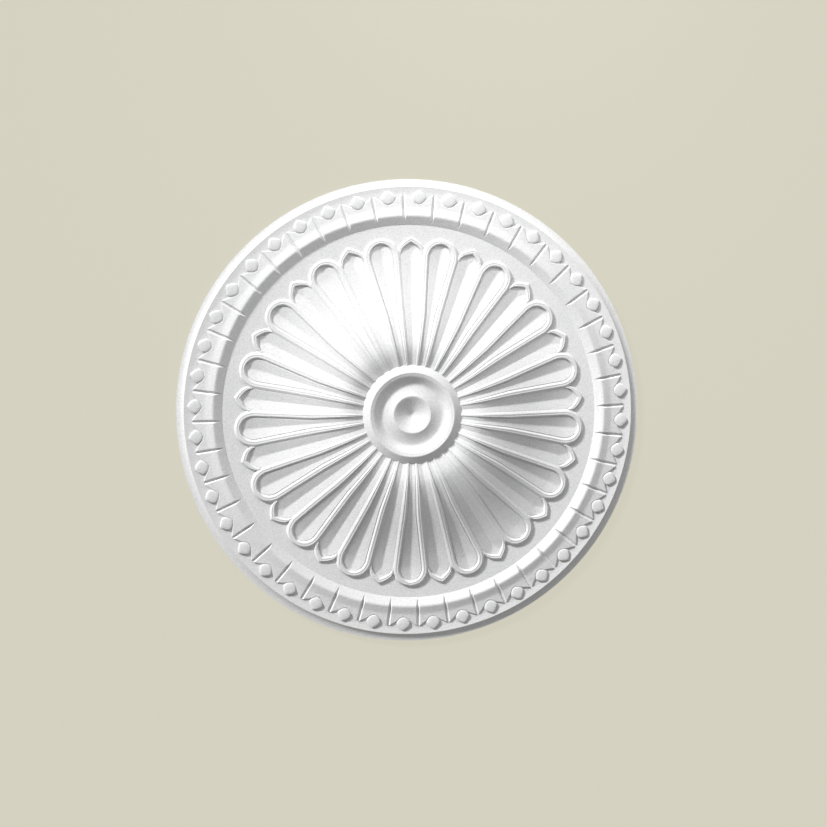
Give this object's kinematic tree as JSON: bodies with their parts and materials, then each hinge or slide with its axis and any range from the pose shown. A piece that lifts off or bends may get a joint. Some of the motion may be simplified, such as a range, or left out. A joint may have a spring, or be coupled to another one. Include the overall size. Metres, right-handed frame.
{
  "type": "ceiling rose",
  "caption": "Round moulded ceiling rose: a domed flower of rounded and pointed petals round a dished boss, in a border of tongues and pellets.",
  "frame": {"origin": "centre of the flat back face, the face that is fixed to the ceiling", "axes": "+Z out of the decorated face along the rose's axis, so the rose lies face up; fixed to a ceiling it is turned over. +X and +Y lie in the back face"},
  "size_m": [0.4799, 0.48, 0.0285],
  "materials": {
    "white_plaster": "matt white cast plaster, smooth, with a very fine grain"
  },
  "bodies": {
    "root": {"ceiling_rose": "white_plaster"}
  },
  "joints": []
}
